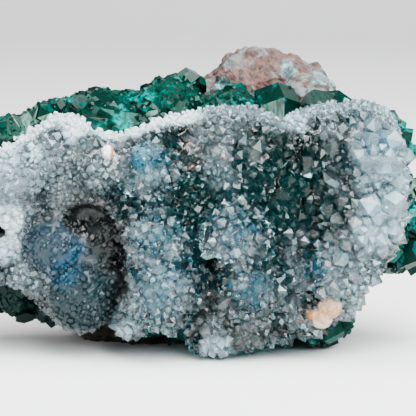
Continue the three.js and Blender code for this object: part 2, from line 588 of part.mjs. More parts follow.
const minerals = [
  { name: "matrix", solid: matrixSolid().subtract(foot), colour: COLOURS.matrix, roughness: 0.9 },
  {
    name: "dioptase_crust",
    solid: dioptaseSolid().subtract(union([grownMatrix, foot])),
    colour: COLOURS.dioptase,
    roughness: 0.2,
  },
  ...SHATTUCKITE_BALLS.map((each, i) => ({
    name: `shattuckite_ball_${i + 1}`,
    solid: ball(each, 1).subtract(bed),
    colour: COLOURS.shattuckite,
    roughness: 0.6,
  })),
  {
    name: "quartz_druse",
    solid: quartzSolid().subtract(inTheQuartz),
    colour: COLOURS.quartz,
    roughness: 0.1,
  },
  { name: "calcite_knob", solid: knobSolid().subtract(bed), colour: COLOURS.calcite, roughness: 0.6 },
  { name: "calcite_bead", solid: beadSolid(), colour: COLOURS.calcite, roughness: 0.6 },
];

// The origin is the middle of the underside
const box = new THREE.Box3();
for (const mineral of minerals) {
  mineral.solid = cleaned(mineral.solid);
  const { min, max } = mineral.solid.boundingBox();
  box.expandByPoint(vector(min)).expandByPoint(vector(max));
}
const middle = box.getCenter(new THREE.Vector3());

const specimen = new THREE.Group();
for (const { name, solid, colour, roughness } of minerals) {
  const material = new THREE.MeshStandardMaterial({ color: colour, roughness, metalness: 0 });
  const centred = cleaned(solid.translate([-middle.x, -middle.y, -box.min.z]));
  const mesh = new THREE.Mesh(geometryOf(centred), material);
  mesh.name = name;
  specimen.add(mesh);
}

export default specimen;
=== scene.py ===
import math
import random

import bmesh
import bpy
import numpy as np
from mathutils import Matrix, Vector, kdtree, noise
from mathutils.bvhtree import BVHTree


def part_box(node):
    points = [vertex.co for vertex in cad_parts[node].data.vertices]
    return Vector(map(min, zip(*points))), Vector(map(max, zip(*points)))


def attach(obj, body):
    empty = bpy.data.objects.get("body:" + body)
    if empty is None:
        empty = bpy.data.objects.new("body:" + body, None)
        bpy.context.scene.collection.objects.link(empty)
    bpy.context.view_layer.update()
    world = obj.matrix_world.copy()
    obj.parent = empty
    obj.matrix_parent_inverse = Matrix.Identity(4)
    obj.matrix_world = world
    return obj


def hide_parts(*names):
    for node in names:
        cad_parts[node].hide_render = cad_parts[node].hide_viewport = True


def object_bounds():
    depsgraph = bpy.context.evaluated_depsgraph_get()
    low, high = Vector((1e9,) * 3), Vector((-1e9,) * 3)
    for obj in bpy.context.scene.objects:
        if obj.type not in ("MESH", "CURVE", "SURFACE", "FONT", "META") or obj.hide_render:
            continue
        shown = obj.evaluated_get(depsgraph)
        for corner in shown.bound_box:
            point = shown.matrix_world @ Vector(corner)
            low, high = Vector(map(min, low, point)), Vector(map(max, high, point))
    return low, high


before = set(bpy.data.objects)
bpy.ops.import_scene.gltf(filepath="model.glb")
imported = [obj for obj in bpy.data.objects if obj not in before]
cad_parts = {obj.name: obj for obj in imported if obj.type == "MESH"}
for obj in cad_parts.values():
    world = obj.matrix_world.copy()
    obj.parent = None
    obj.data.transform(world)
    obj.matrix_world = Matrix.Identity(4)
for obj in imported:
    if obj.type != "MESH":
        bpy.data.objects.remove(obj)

CAD_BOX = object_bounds()

# Driving dimensions, in millimetres where nothing else is said
CRUST_FRONT = -1.6  # front of the quartz sheet between its lobes
CRUST_BACK = 3.6  # back of the quartz sheet, inside the dioptase
CRUST_LEFT, CRUST_RIGHT = -35.2, 27.3
CRUST_GRID = (92, 52, 8)  # columns, rows and layers of its mesh
LEAST_THICKNESS = 0.6  # of the crust
EDGE_ROUNDING = 3.0  # the sheet curves back by this within this distance of its edge
RIM_SLOPE = 0.28  # the broken upper edge falls this much towards the front
RIM_FRONT = 1.0  # front of that broken edge
RIM_SINK = 0.5  # the crust ends this much below the rim, and its crystals stand up to it
RIM_BAND = 0.5  # crystals this close to the top of the crust are fine and stand at all angles
SHOULDER_SLOPE = 0.9  # in front of the broken edge the crust falls away this steeply
QUARTZ_SAMPLES = 17000  # places tried for the quartz points
QUARTZ_SPACING = 1.32  # the least distance between them, in mean radii
QUARTZ_STEEPNESS = 1.1  # height of a quartz point for each millimetre of its radius
BLUNT = 0.3  # in the soft places the points lose this share of that height
DIOPTASE_SAMPLES = 5200  # places tried for the small dioptase crystals
DIOPTASE_SPACING = 1.15  # the least distance between them, in mean radii
DIOPTASE_STEEPNESS = 0.42  # height of each of the two steps of a dioptase point
LARGE_RADIUS = 0.6  # dioptase crystals from this radius are sunk, so that low facets show
BALL_SET_BACK = 0.7  # from the middle of its lobe
BALL_GROWTH = 0.35  # the balls and the quartz touch
NEEDLE_LENGTH = 0.15  # the tufts stand out of a ball by about this
MERGE_DISTANCE = 1e-6  # in metres, between corners that are one
PLANNED_BEAD = (-14.0, -2.3, 29.6)  # the middle of the calcite bead in the model's own millimetres

# Lower edge of the crust, and its broken upper edge, as places in X and Z
LOWER_EDGE = [
    (-35.2, 17), (-33, 11), (-27.7, 10.4), (-24.9, 8.3), (-22.8, 5.7), (-20.7, 4), (-18.6, 3),
    (-16.5, 3.6), (-13.4, 5.7), (-11.6, 2.9), (-10.2, 3), (-8.1, 5.2), (-5.3, 4.7), (-3.2, 3.3),
    (-1.1, 1.2), (1, 0.4), (2.4, 0.4), (3.8, 1.2), (8, 1.9), (14.3, 3.3), (16.4, 3.3),
    (19.2, 5.7), (20.6, 7.6), (22, 10.4), (24.8, 13.7), (26.2, 16.8), (26.9, 18.9),
    (27.3, 20.8),
]
RIM = [
    (-38, 25), (-34, 26.6), (-29, 29.4), (-26, 31), (-23.5, 32.4), (-21.4, 33.8), (-18.6, 33.8),
    (-16.5, 32.3), (-13, 31.4), (-9.5, 32.3), (-6.7, 33.6), (-2, 34), (1, 34.8), (6.8, 34.9),
    (9.8, 33.2), (11, 33.6), (14, 34.8), (16.4, 35.3), (19.2, 34.9), (20, 35.9), (23.4, 35.4),
    (25.2, 34.6), (26.3, 33), (27.3, 30.6),
]
# Each lobe is x, y, z, radius. The ball lobes end with the radius of the ball of shattuckite
# inside, as a share of the lobe's.
BALL_LOBES = [
    (-8.5, -1, 27.5, 4.8, 0.6), (-22, 1.6, 16, 4.9, 0.72), (-18, 1.2, 8.9, 5.3, 0.76),
    (-8, -2, 17.2, 5, 0.66), (-6.8, -2, 10, 5.8, 0.7), (4, -2.6, 17.6, 4.9, 0.6),
    (6, -2, 9.6, 4.9, 0.58), (23.6, -0.9, 29.4, 5.6, 0.55), (16.5, -1, 12.6, 5, 0.6),
]
PLAIN_LOBES = [
    (-26.5, 0, 27.4, 5), (-21.5, 0, 30, 4.8), (-16, 0.4, 28, 4.7), (-2.5, 0, 30, 4.8),
    (2.6, 0, 31, 4.8), (7.6, 0, 31.4, 4.8), (13, 0.4, 30, 4.8), (18.4, 0, 31.6, 4.4),
    (25, -0.6, 23, 4.8), (21, -1, 19, 5), (25.2, 0, 17, 3.1), (15.5, 1.9, 24, 5),
    (10, 2.4, 24, 5), (4.5, 1.6, 25.5, 4.5), (-1, 2.6, 22.4, 4.8), (11.5, 1, 16.6, 4.8),
    (19.6, 0, 9.2, 3.6), (13, 0, 7, 4.2), (0.6, -1, 4.2, 3.7), (-11.2, -1, 5.4, 2.3),
    (-15, 4.2, 17.2, 3.8), (-28, 0.4, 18.6, 3.8), (-26.4, 1, 12.6, 3), (-11, 0.4, 22.6, 4),
    (-20, 0.4, 24.2, 4.2), (-26.5, 0.4, 23, 4), (5, -1, 4.6, 3.3), (9, -0.6, 5, 3.1),
    (-0.6, 1, 10.4, 4.6), (-22.6, 1.4, 11, 3.5), (20, 0, 25.6, 4.5), (20.6, -0.4, 14.6, 4.6),
    (-30.6, 2, 24.5, 4.2), (-30.8, 3, 18, 3.6),
]
SHADED_BALLS = {2: 0.3, 3: 1.0}  # how much darker a teal some balls are painted: partly their own tone, partly painted shade
SHADED_LOBE = (-18.0, 9.2, 4.9)  # the lobe whose milk is cut so that it reads darker, as painted shade: x, z, radius
SHADED_LOBE_MILK = 0.35  # it keeps this share of its milk
# Places that no quartz point covers, the bead and a small hole: x, z, radius
KEPT_FREE = [(PLANNED_BEAD[0], PLANNED_BEAD[2], 1.0), (-29.2, 18.5, 0.5)]
# Each hollow is its middle in X and Z, its half width and height, and how far back it goes
HOLLOWS = [
    (-16.9, 20, 3.4, 2.1, 0.3), (-12.2, 12.4, 1.5, 6, 0.2), (0.4, 14, 1.2, 2, 0.4),
    (-29.2, 18.5, 0.9, 0.7, 1.8),
]
HOLLOW_WAVES = [(0.45, 1.3), (0.25, 2.9)]  # the hollows' sides wander: by how much, and how fast

# White, cloudy places in the quartz: x, z, radius, strength
MILKY_SPOTS = [
    (-25.4, 28, 5, 0.38), (-29, 26, 4.4, 0.4), (-24.2, 29.6, 1.3, 0.7), (-27.8, 20.4, 2.6, 0.75),
    (-28.4, 16.4, 2.8, 0.7), (-31, 21, 3.5, 0.6), (-11.6, 5, 1.9, 0.7), (1, 2, 2.4, 0.55),
    (-28.4, 28.8, 2.6, 0.6), (-18.6, 33.2, 2.2, 0.8), (12.2, 33.4, 2, 0.6), (24, 31, 5, 0.34),
    (24.6, 25, 4.8, 0.45), (24, 19.6, 4.8, 0.52), (19.4, 15.6, 4, 0.26), (20, 9.4, 4, 0.3),
    (17.6, 4.8, 2.2, 0.5), (-8, 17.2, 4.4, 0.1), (-6.8, 10, 5.4, 0.17), (6, 9.6, 4.8, 0.12),
    (-12.2, 6.4, 1.7, 0.7), (-22.6, 8.6, 3, 0.28), (-25.4, 11.6, 3, 0.28), (-24.6, 22.6, 3, 0.2),
    (-20.5, 25.4, 5, 0.17), (-17.6, 30.4, 2.8, 0.22), (4, 17.4, 4.8, 0.13),
]
# Painted shade in the hollows and gaps, a dark brown-grey: x, z, radius, strength
HOLLOW_SHADE_SPOTS = [
    (-18, 20.2, 2.4, 1.0), (-15.8, 19.8, 2.4, 1.0), (-14.6, 17.2, 2.6, 0.6), (-12.6, 19.2, 1.2, 0.7),
    (-12.6, 16, 1.8, 0.5), (-12.2, 13, 1.6, 0.3), (-12.2, 10.2, 1.5, 0.25), (-13.4, 8.4, 1.3, 0.2),
    (0.6, 14, 1.3, 0.8), (-29.2, 18.5, 0.8, 1.0), (-17.6, 22.2, 2.4, 0.25), (0.4, 8.4, 2.0, 0.35),
    (-1, 5.6, 1.6, 0.3), (-13.8, 14.4, 2, 0.5),
]
# Places with larger crystals: x, z, radius, strength
COARSE_SPOTS = [
    (-11.4, 5.4, 2.6, 1.0), (1.4, 2.2, 3, 0.8), (24, 20.4, 4.4, 0.4), (25, 29, 4, 0.4),
    (9, 21, 3.4, 0.3),
]
# Places where crystals are few on the smooth crust: x, z, radius, strength
BARE_SPOTS = [
    (-17.8, 9.4, 5.4, 0.28), (-21.4, 16.4, 4.8, 0.28), (-16.9, 20, 3, 0.8), (-15.4, 15.6, 3.4, 0.25),
    (-27.6, 26, 3.6, 0.4),
]
# Finely crystalline, softly frosted places: x, z, radius, strength
SOFT_SPOTS = [
    (-22, 16, 6, 1.0), (-18, 8.9, 6.4, 1.0), (-16.4, 19.4, 4.6, 1.0), (-13.6, 15, 3.4, 1.0),
    (-12.4, 10.4, 2.2, 1.0), (-27, 26, 6, 0.7), (-20.5, 25, 5.4, 0.8), (10, 7.6, 2.6, 0.5),
    (0.6, 8.6, 2, 0.6), (-2.5, 22.4, 4.6, 0.45),
]
# Places painted a dusky teal as shade: x, z, radius, strength
TEAL_SHADE_SPOTS = [
    (-17.6, 9, 6.6, 1.0), (-14.6, 16.4, 3.4, 1.0), (-12.6, 11, 2.4, 0.8), (-18, 21.8, 4, 0.45),
    (-16.8, 14, 3.6, 0.9), (1.2, 7.4, 3, 0.4), (6, 4.8, 3.4, 0.35),
]
# Places where it is blue, a blue darkened partly as painted shade: x, z, radius, strength
BLUE_SPOTS = [
    (-21.8, 16.4, 4.8, 1.0), (-22.6, 23.4, 1.8, 0.5), (-20.6, 13.2, 3, 0.7),
]
# Places with golden or rusty specks in the quartz: x, z, radius, strength
RUSTY_SPOTS = [
    (-2.3, 29.4, 2.2, 1.0), (2.4, 29.3, 0.7, 0.8), (-5.3, 17.1, 0.6, 0.8), (-14.6, 22, 0.8, 0.7),
    (-13.2, 28.6, 1.2, 0.8), (12.6, 31.4, 0.8, 0.6), (24.6, 34.6, 1.0, 0.5), (-24.4, 31.2, 1.0, 0.6),
]
# Water-clear places, where the dark green dioptase shows through: x, z, radius, strength
CLEAR_SPOTS = [
    (-2.5, 22.4, 3.8, 1.0), (11.8, 27.6, 5.4, 1.0), (9, 22.6, 4.8, 0.9), (14.8, 22.8, 3.4, 0.8),
    (-11.8, 12.6, 2.2, 0.8), (11.4, 16, 3.2, 0.4), (-16.8, 20, 3.8, 1.0), (6.4, 5.4, 4.2, 0.5),
    (-15.6, 16.4, 3, 0.6),
]
# Dioptase faces with a painted pale reflection: x, z, half width and half height of the place, and how
# far back it goes
REFLECTION_FACES = [
    (9, 34.6, 2.6, 2.4, 5), (12.8, 33.8, 1.4, 1.4, 5), (15.9, 35.2, 2, 2, 5),
    (-24.2, 32.4, 3, 1.8, 6), (28.6, 21.8, 2.2, 2.6, 5), (-8.2, 35, 1.4, 1.4, 6),
]
REFLECTION_FACING = 0.78  # how squarely such a face looks to the front
# Mint-coloured coatings on the matrix: x, z, radius, strength
MINT_SPOTS = [
    (16.4, 37, 3.6, 0.25), (17.4, 34, 3, 0.25), (2.4, 37, 1.8, 0.3), (6, 36.2, 1.6, 0.3),
    (9, 37.4, 1.2, 0.16), (12, 40, 1.8, 0.15),
]

rng = random.Random(20)


def planned_shift():
    """How far the frame's origin is from the model's own, in millimetres."""
    low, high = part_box("calcite_bead")
    middle = (np.array(low) + np.array(high)) * 500.0
    return np.array(PLANNED_BEAD) - middle


SHIFT = planned_shift()


def metres(points):
    return (np.asarray(points, float) - SHIFT) * 0.001


def millimetres(points):
    return np.asarray(points, float) * 1000.0 + SHIFT


def cad_mesh(node):
    """The corners, in the model's own millimetres, and the triangles of a CAD node."""
    shape = bmesh.new()
    shape.from_mesh(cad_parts[node].data)
    bmesh.ops.remove_doubles(shape, verts=shape.verts, dist=MERGE_DISTANCE)
    bmesh.ops.triangulate(shape, faces=shape.faces[:])
    shape.verts.index_update()
    corners = millimetres([corner.co for corner in shape.verts])
    triangles = np.array([[corner.index for corner in face.verts] for face in shape.faces])
    shape.free()
    return corners, triangles


def add_object(name, data):
    item = bpy.data.objects.new(name, data)
    bpy.context.scene.collection.objects.link(item)
    return item


def new_object(name, corners, faces):
    mesh = bpy.data.meshes.new(name)
    mesh.from_pydata(metres(corners).tolist(), [], np.asarray(faces).tolist())
    return add_object(name, mesh)


def corners_of(mesh):
    corners = np.empty(len(mesh.vertices) * 3)
    mesh.vertices.foreach_get("co", corners)
    return millimetres(corners.reshape(-1, 3))


def smooth_step(value):
    value = np.clip(value, 0.0, 1.0)
    return value * value * (3.0 - 2.0 * value)


def spots(x, z, table):
    """The strongest of some round spots at each place. A spot fades out round its edge."""
    strength = np.zeros_like(x)
    for cx, cz, radius, amount in table:
        distance = np.hypot(x - cx, z - cz) / radius
        strength = np.maximum(strength, amount * smooth_step(2.0 * (1.15 - distance)))
    return strength


def noise_at(points, scale, seed):
    offset = Vector((seed, seed * 0.7, -seed))
    return np.array([noise.noise(Vector(p) / scale + offset) for p in points])


# Crust shape
LOWER = np.array(LOWER_EDGE, float)
UPPER = np.array(RIM, float)
LOBES = np.array([lobe[:4] for lobe in BALL_LOBES + PLAIN_LOBES], float)


def lower_edge(x):
    return np.interp(x, LOWER[:, 0], LOWER[:, 1])


def rim_height(x, y):
    """Height of the top of the crust, without the crystals that stand on it."""
    return np.interp(x, UPPER[:, 0], UPPER[:, 1]) - RIM_SINK + RIM_SLOPE * y


def on_rim(place):
    return place[2] > rim_height(place[0], place[1]) - RIM_BAND


def distance_to_edge(x, z):
    """Distance to the lower edge and the two ends of the crust."""
    best = np.minimum(x - CRUST_LEFT, CRUST_RIGHT - x)
    for (ax, az), (bx, bz) in zip(LOWER[:-1], LOWER[1:]):
        along = ((x - ax) * (bx - ax) + (z - az) * (bz - az)) / ((bx - ax) ** 2 + (bz - az) ** 2)
        along = np.clip(along, 0.0, 1.0)
        best = np.minimum(best, np.hypot(x - ax - along * (bx - ax), z - az - along * (bz - az)))
    return np.maximum(best, 0.0)


def crust_front(x, z):
    """How far forward the crust comes: a sheet with lobes, hollows and a broken shoulder."""
    edge = np.maximum(0.0, 1.0 - distance_to_edge(x, z) / EDGE_ROUNDING)
    front = CRUST_FRONT + EDGE_ROUNDING * edge ** 2
    for cx, cy, cz, radius in LOBES:
        depth = radius ** 2 - (x - cx) ** 2 - (z - cz) ** 2
        lobe = np.where(depth > 0, cy - np.sqrt(np.maximum(depth, 0.0)), CRUST_BACK)
        front = np.minimum(front, lobe)
    wander = sum(size * np.sin(rate * z) for size, rate in HOLLOW_WAVES)
    for cx, cz, half_x, half_z, back in HOLLOWS:
        inside = ((x - cx - wander) / half_x) ** 2 + ((z - cz) / half_z) ** 2
        bottom = front + (back - front) * smooth_step(1.6 * (1.0 - inside))
        front = np.where(inside < 1.0, np.maximum(front, bottom), front)
    below_rim = np.maximum(0.0, rim_height(x, RIM_FRONT) - z)
    front = np.maximum(front, RIM_FRONT - below_rim / SHOULDER_SLOPE)
    return np.minimum(front, CRUST_BACK - LEAST_THICKNESS)


def box_grid(columns, rows, layers):
    """The corners, from 0 to 1 each way, and the quads of a closed box."""
    index = {}
    corners = []
    faces = []

    def corner(i, j, k):
        if (i, j, k) not in index:
            index[i, j, k] = len(corners)
            corners.append((i / columns, j / rows, k / layers))
        return index[i, j, k]

    def quad(*places):
        faces.append([corner(*place) for place in places])

    for i in range(columns):
        for j in range(rows):
            quad((i, j, 0), (i + 1, j, 0), (i + 1, j + 1, 0), (i, j + 1, 0))
            quad((i, j, layers), (i, j + 1, layers), (i + 1, j + 1, layers), (i + 1, j, layers))
    for k in range(layers):
        for i in range(columns):
            quad((i, 0, k), (i, 0, k + 1), (i + 1, 0, k + 1), (i + 1, 0, k))
            quad((i, rows, k), (i + 1, rows, k), (i + 1, rows, k + 1), (i, rows, k + 1))
        for j in range(rows):
            quad((0, j, k), (0, j + 1, k), (0, j + 1, k + 1), (0, j, k + 1))
            quad((columns, j, k), (columns, j, k + 1), (columns, j + 1, k + 1), (columns, j + 1, k))
    return np.array(corners), np.array(faces)


def crust_body():
    """The crust without its crystals: a box grid bent between its edges, front and back."""
    shares, faces = box_grid(*CRUST_GRID)
    u, v, w = shares.T
    x = CRUST_LEFT + u * (CRUST_RIGHT - CRUST_LEFT)
    low = lower_edge(x)
    # The rim's height depends on the front, and the front on the height, so a first guess at
    # the front is made better three times
    front = np.full_like(x, -4.0)
    for _ in range(3):
        z = low + (rim_height(x, front) - low) * v
        front = crust_front(x, z)
    y = front + (CRUST_BACK - front) * w
    z = low + (rim_height(x, y) - low) * v
    points = np.stack([x, y, z], axis=1)
    ripple = 0.3 * noise_at(points, 1.6, 5.0)
    points[:, 1] += ripple * (1.0 - w)
    points[:, 2] += 0.45 * noise_at(points, 1.1, 9.0) * (v > 0.98)
    return points, faces


# Crystals
def hex_crystal(radius, root, ring_heights, tip):
    """A closed six-sided crystal along +Z: its corners and triangles."""
    angles = [i * math.pi / 3.0 for i in range(6)]
    ring = [(radius * math.cos(a), radius * math.sin(a)) for a in angles]
    corners = [(x, y, -root) for x, y in ring]
    corners += [(x, y, height) for (x, y), height in zip(ring, ring_heights)]
    corners += [tip, (0.0, 0.0, -root)]
    # Corners 0 to 5 are the root, 6 to 11 the ring, 12 the tip and 13 the middle of the root
    faces = []
    for i in range(6):
        n = (i + 1) % 6
        faces += [(i, n, 6 + n), (i, 6 + n, 6 + i), (6 + i, 6 + n, 12), (n, i, 13)]
    return np.array(corners), np.array(faces)


def quartz_crystal(radius, shaft, steepness):
    """Three large and three small faces that meet in a point a little off the middle."""
    uneven = 0.32 * radius * rng.random()
    heights = [shaft + (uneven if i % 2 else 0.0) + 0.14 * radius * (rng.random() - 0.5)
               for i in range(6)]
    lean = 0.4 * radius
    tip = (lean * (rng.random() - 0.5), lean * (rng.random() - 0.5), shaft + steepness * radius)
    return hex_crystal(radius, 1.2 * radius, heights, tip)


def dioptase_crystal(radius, length):
    """A prism closed by three rhombs."""
    step = DIOPTASE_STEEPNESS * radius
    heights = [length - (1 + i % 2) * step for i in range(6)]
    return hex_crystal(radius, 1.5 * radius, heights, (0.0, 0.0, length))


def stand(corners, place, direction, turn):
    """Crystal corners with their axis along a direction, at a place."""
    rotation = Vector(direction).to_track_quat("Z", "Y").to_matrix()
    spin = np.array([[math.cos(turn), -math.sin(turn), 0.0], [math.sin(turn), math.cos(turn), 0.0],
                     [0.0, 0.0, 1.0]])
    return corners @ (np.array(rotation) @ spin).T + place


def tilted(direction, amount):
    """A direction turned a little at random."""
    wobble = Vector([2.0 * amount * (rng.random() - 0.5) for _ in range(3)])
    return (Vector(direction).normalized() + wobble).normalized()


def surface_samples(corners, triangles, count, shown):
    """Places and outward directions spread over a surface by area, and by how much is shown of it."""
    a, b, c = (corners[triangles[:, i]] for i in range(3))
    cross = np.cross(b - a, c - a)
    area = np.linalg.norm(cross, axis=1)
    normals = cross / np.maximum(area, 1e-12)[:, None]
    share = area * shown((a + b + c) / 3.0, normals)
    picker = np.random.RandomState(rng.randrange(1 << 30))
    chosen = picker.choice(len(triangles), size=count, p=share / share.sum())
    r1, r2 = np.sqrt(picker.rand(count)), picker.rand(count)
    weights = (1 - r1, r1 * (1 - r2), r1 * r2)
    places = sum(each[chosen] * weight[:, None] for each, weight in zip((a, b, c), weights))
    return places, normals[chosen]


def thin_out(places, radii, spacing):
    """Indexes of places that stand apart by at least their mean radius times the spacing."""
    cell = 2.0 * max(radii) * spacing
    grid = {}
    kept = []
    for i, (place, radius) in enumerate(zip(places, radii)):
        key = tuple(int(math.floor(value / cell)) for value in place)
        near = [j for dx in (-1, 0, 1) for dy in (-1, 0, 1) for dz in (-1, 0, 1)
                for j in grid.get((key[0] + dx, key[1] + dy, key[2] + dz), ())]
        if all(np.linalg.norm(place - places[j]) > spacing * (radius + radii[j]) / 2.0 for j in near):
            grid.setdefault(key, []).append(i)
            kept.append(i)
    return kept


def batches_apart(crystals):
    """Sorts crystals into batches in which none touches another. Each is corners and triangles."""
    centres = [corners.mean(axis=0) for corners, _ in crystals]
    reaches = [np.linalg.norm(corners - centre, axis=1).max()
               for (corners, _), centre in zip(crystals, centres)]
    tree = kdtree.KDTree(len(crystals))
    for i, centre in enumerate(centres):
        tree.insert(centre, i)
    tree.balance()
    largest = max(reaches)
    batch_of = {}
    for i in sorted(range(len(crystals)), key=lambda k: -reaches[k]):
        taken = {batch_of[j] for _, j, distance in tree.find_range(centres[i], reaches[i] + largest)
                 if j in batch_of and distance < reaches[i] + reaches[j] + 1e-3}
        batch_of[i] = next(number for number in range(len(crystals)) if number not in taken)
    batches = [[] for _ in range(max(batch_of.values()) + 1)]
    for i, number in sorted(batch_of.items()):
        batches[number].append(crystals[i])
    return batches


def ground_block():
    """A block under the foot of the specimen, and a hair above it."""
    half, depth, hair = 60.0, 12.0, 0.01
    foot = millimetres(CAD_BOX[0])[2] + hair
    corners = [(x, y, z) for x in (-half, half) for y in (-half, half) for z in (foot - depth, foot)]
    faces = [(0, 1, 3), (0, 3, 2), (4, 6, 7), (4, 7, 5), (0, 4, 5), (0, 5, 1),
             (2, 3, 7), (2, 7, 6), (0, 2, 6), (0, 6, 4), (1, 5, 7), (1, 7, 3)]
    return np.array(corners), np.array(faces)


def join_solids(name, corners, faces, crystals, smooth=False):
    """One closed solid of a body and the crystals that stand on it, cut off flat at the foot."""
    body = new_object(name, corners, faces)
    if smooth:
        body.data.shade_smooth()
    group = bpy.data.node_groups.new("join_" + name, "GeometryNodeTree")
    group.interface.new_socket("Geometry", in_out="INPUT", socket_type="NodeSocketGeometry")
    group.interface.new_socket("Geometry", in_out="OUTPUT", socket_type="NodeSocketGeometry")
    start = group.nodes.new("NodeGroupInput")
    end = group.nodes.new("NodeGroupOutput")
    helpers = []

    def boolean(operation):
        node = group.nodes.new("GeometryNodeMeshBoolean")
        node.operation = operation
        node.solver = "MANIFOLD"
        return node

    def feed(node, helper):
        """Gives a helper object's mesh to a boolean node."""
        info = group.nodes.new("GeometryNodeObjectInfo")
        info.inputs["Object"].default_value = helper
        group.links.new(info.outputs["Geometry"], node.inputs["Mesh 2"])
        helpers.append(helper)

    union = boolean("UNION")
    group.links.new(start.outputs[0], union.inputs["Mesh 2"])
    for batch in batches_apart(crystals):
        counts = np.cumsum([0] + [len(each) for each, _ in batch])
        batch_corners = np.concatenate([each for each, _ in batch])
        batch_faces = np.concatenate([tris + count for (_, tris), count in zip(batch, counts)])
        feed(union, new_object("batch", batch_corners, batch_faces))
    cut = boolean("DIFFERENCE")
    group.links.new(union.outputs["Mesh"], cut.inputs["Mesh 1"])
    feed(cut, new_object("ground", *ground_block()))
    group.links.new(cut.outputs["Mesh"], end.inputs[0])
    modifier = body.modifiers.new("join", "NODES")
    modifier.node_group = group
    joined = bpy.data.meshes.new_from_object(body.evaluated_get(bpy.context.evaluated_depsgraph_get()))
    body.modifiers.clear()
    old = body.data
    body.data = joined
    bpy.data.meshes.remove(old)
    for helper in helpers:
        mesh = helper.data
        bpy.data.objects.remove(helper)
        bpy.data.meshes.remove(mesh)
    bpy.data.node_groups.remove(group)
    joined.name = name
    return body


def set_attribute(mesh, name, values, domain="POINT"):
    attribute = mesh.attributes.new(name, "FLOAT", domain)
    attribute.data.foreach_set("value", np.asarray(values, np.float32))


def place_piece(piece, node, material):
    """Gives a finished piece its material and its body, and hides the CAD node that it stands for."""
    piece.data.materials.clear()
    piece.data.materials.append(material)
    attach(piece, "root")
    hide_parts(node)


# Node material helpers
class Shader:
    """A material's node tree, with short calls for the nodes that it uses."""

    def __init__(self, name):
        self.material = bpy.data.materials.new(name)
        self.material.use_nodes = True
        self.nodes = self.material.node_tree.nodes
        self.links = self.material.node_tree.links
        self.principled = self.nodes["Principled BSDF"]
        self.output = self.nodes["Material Output"]

    def put(self, socket, value):
        """Links a node's output, or sets a plain value."""
        if hasattr(value, "is_output"):
            self.links.new(value, socket)
        else:
            socket.default_value = value

    def surface(self, **values):
        for name, value in values.items():
            self.put(self.principled.inputs[name.replace("_", " ")], value)

    def place(self):
        return self.nodes.new("ShaderNodeTexCoord").outputs["Object"]

    def attribute(self, name):
        node = self.nodes.new("ShaderNodeAttribute")
        node.attribute_name = name
        return node.outputs["Fac"]

    def noise(self, scale, detail, roughness, vector=None, distortion=0.0):
        node = self.nodes.new("ShaderNodeTexNoise")
        self.links.new(vector or self.place(), node.inputs["Vector"])
        node.inputs["Scale"].default_value = scale
        node.inputs["Detail"].default_value = detail
        node.inputs["Roughness"].default_value = roughness
        node.inputs["Distortion"].default_value = distortion
        return node.outputs["Fac"]

    def streaks(self, scale):
        """Fine lines that run up and down, as on the faces of a prism."""
        node = self.nodes.new("ShaderNodeMapping")
        self.links.new(self.place(), node.inputs["Vector"])
        node.inputs["Scale"].default_value = (1.0, 1.0, 0.12)
        return self.noise(scale, 2.0, 0.5, node.outputs[0])

    def cells(self, scale):
        """The distance to the middle of the nearest of some small cells."""
        node = self.nodes.new("ShaderNodeTexVoronoi")
        self.links.new(self.place(), node.inputs["Vector"])
        node.inputs["Scale"].default_value = scale
        return node.outputs["Distance"]

    def facet(self, steps=60.0):
        """A random number for each flat facet, from the way it faces."""
        normal = self.nodes.new("ShaderNodeNewGeometry").outputs["True Normal"]
        snap = self.nodes.new("ShaderNodeVectorMath")
        snap.operation = "SNAP"
        self.links.new(normal, snap.inputs[0])
        snap.inputs[1].default_value = (1.0 / steps,) * 3
        node = self.nodes.new("ShaderNodeTexWhiteNoise")
        self.links.new(snap.outputs[0], node.inputs["Vector"])
        return node.outputs["Value"]

    def math(self, operation, a, b, clamp=False):
        node = self.nodes.new("ShaderNodeMath")
        node.operation = operation
        node.use_clamp = clamp
        self.put(node.inputs[0], a)
        self.put(node.inputs[1], b)
        return node.outputs[0]

    def plus(self, a, b, clamp=False):
        return self.math("ADD", a, b, clamp)

    def minus(self, a, b):
        return self.math("SUBTRACT", a, b)

    def times(self, a, b, clamp=False):
        return self.math("MULTIPLY", a, b, clamp)

    def larger(self, a, b):
        return self.math("MAXIMUM", a, b)

    def spread(self, value, low, high, to_low=0.0, to_high=1.0):
        """Maps the values between two numbers softly to those between two others."""
        node = self.nodes.new("ShaderNodeMapRange")
        node.interpolation_type = "SMOOTHSTEP"
        self.put(node.inputs["Value"], value)
        node.inputs["From Min"].default_value = low
        node.inputs["From Max"].default_value = high
        node.inputs["To Min"].default_value = to_low
        node.inputs["To Max"].default_value = to_high
        return node.outputs["Result"]

    def blend(self, factor, a, b):
        node = self.nodes.new("ShaderNodeMix")
        node.data_type = "RGBA"
        self.put(node.inputs["Factor"], factor)
        self.put(node.inputs[6], a)
        self.put(node.inputs[7], b)
        return node.outputs[2]

    def bump(self, height, distance, strength):
        node = self.nodes.new("ShaderNodeBump")
        node.inputs["Strength"].default_value = strength
        node.inputs["Distance"].default_value = distance
        self.links.new(height, node.inputs["Height"])
        self.links.new(node.outputs["Normal"], self.principled.inputs["Normal"])


def colour(red, green, blue):
    return (red, green, blue, 1.0)


